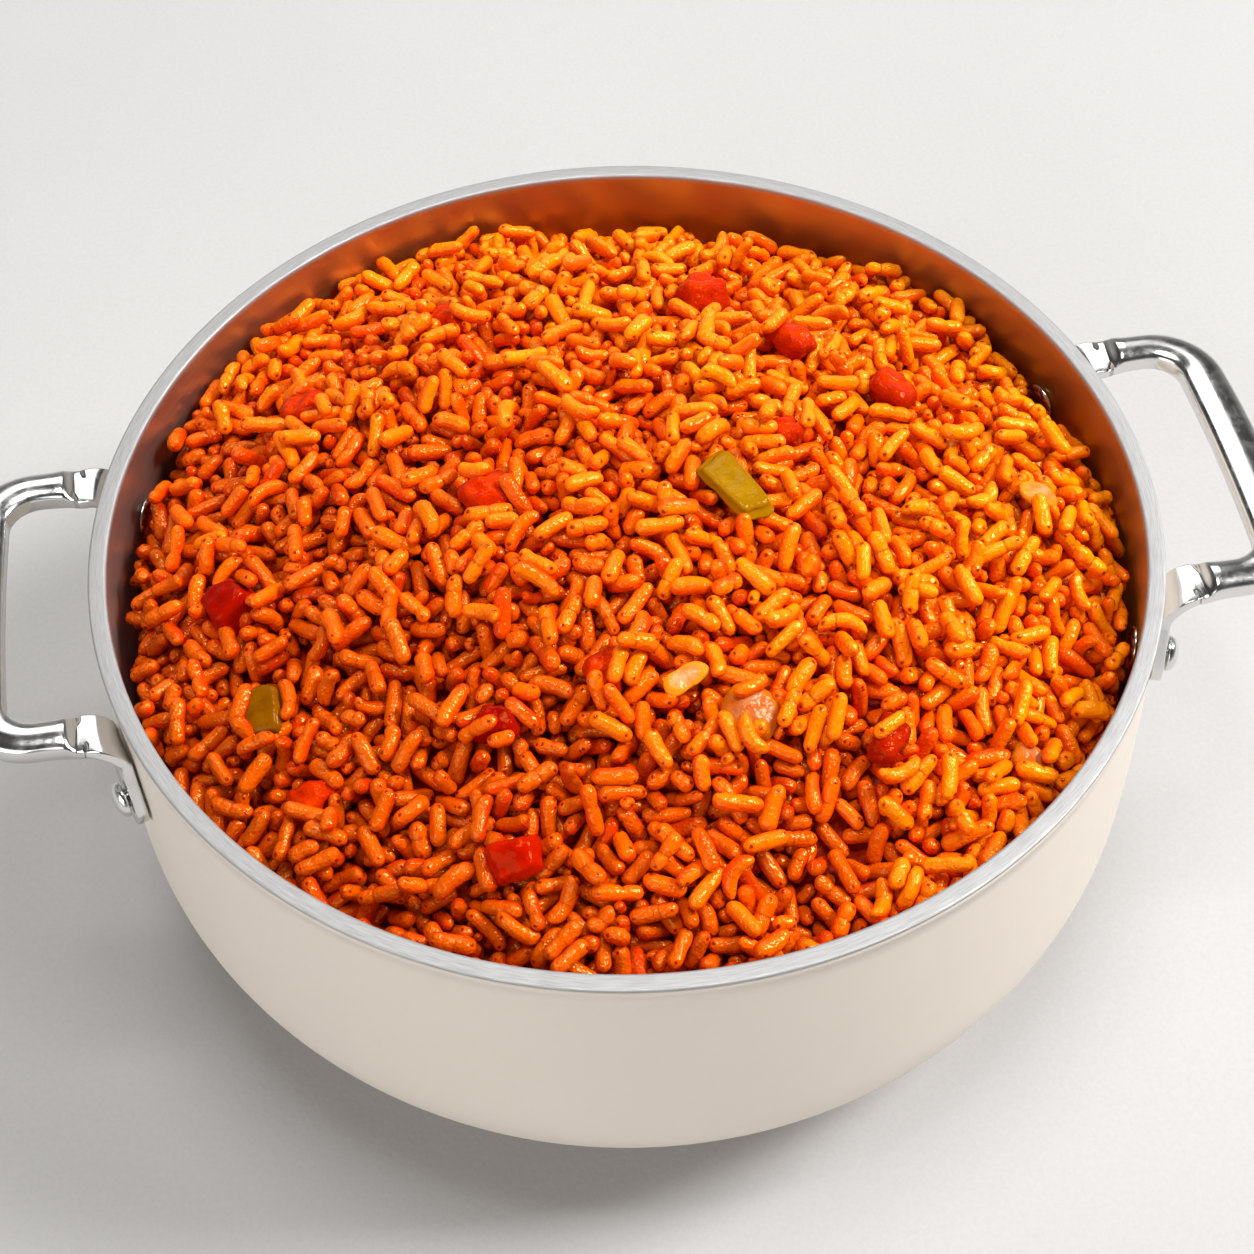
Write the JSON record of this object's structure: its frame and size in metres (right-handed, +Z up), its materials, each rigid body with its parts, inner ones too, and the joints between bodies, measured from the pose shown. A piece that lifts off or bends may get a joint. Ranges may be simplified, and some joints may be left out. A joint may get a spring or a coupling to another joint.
{
  "type": "jollof rice in a casserole pot",
  "caption": "Heap of cooked orange-red rice with bits of tomato, pepper and onion, in a round cream pot with a bare metal rim and riveted loop handles.",
  "frame": {"origin": "middle of the pot's flat base, on the surface that it stands on", "axes": "+Z up out of the pot, +X towards the right handle, +Y away from the viewer"},
  "size_m": [0.3138, 0.2536, 0.1297],
  "materials": {
    "cream_paint": "satin cream coating",
    "bare_metal": "brushed, on the rim and the inside",
    "polished_steel": "polished",
    "cooked_rice": "moist, soft sheen, orange",
    "cooked_tomato": "wet red flesh",
    "red_pepper": "wet red skin",
    "green_pepper": "wet olive green skin",
    "cooked_onion": "wet, half see-through, stained orange"
  },
  "bodies": {
    "root": {"pot": "cream_paint", "handle_right": "polished_steel", "handle_left": "polished_steel", "rivet_1": "polished_steel", "rivet_2": "polished_steel", "rivet_3": "polished_steel", "rivet_4": "polished_steel", "rice": "cooked_rice", "tomato_1": "cooked_tomato", "tomato_2": "cooked_tomato", "tomato_3": "cooked_tomato", "tomato_4": "cooked_tomato", "tomato_5": "cooked_tomato", "tomato_6": "cooked_tomato", "tomato_7": "cooked_tomato", "tomato_8": "cooked_tomato", "tomato_9": "cooked_tomato", "tomato_10": "cooked_tomato", "red_pepper_1": "red_pepper", "red_pepper_2": "red_pepper", "red_pepper_3": "red_pepper", "green_pepper_1": "green_pepper", "green_pepper_2": "green_pepper", "onion_1": "cooked_onion", "onion_2": "cooked_onion", "onion_3": "cooked_onion", "onion_4": "cooked_onion", "onion_5": "cooked_onion"}
  },
  "joints": []
}
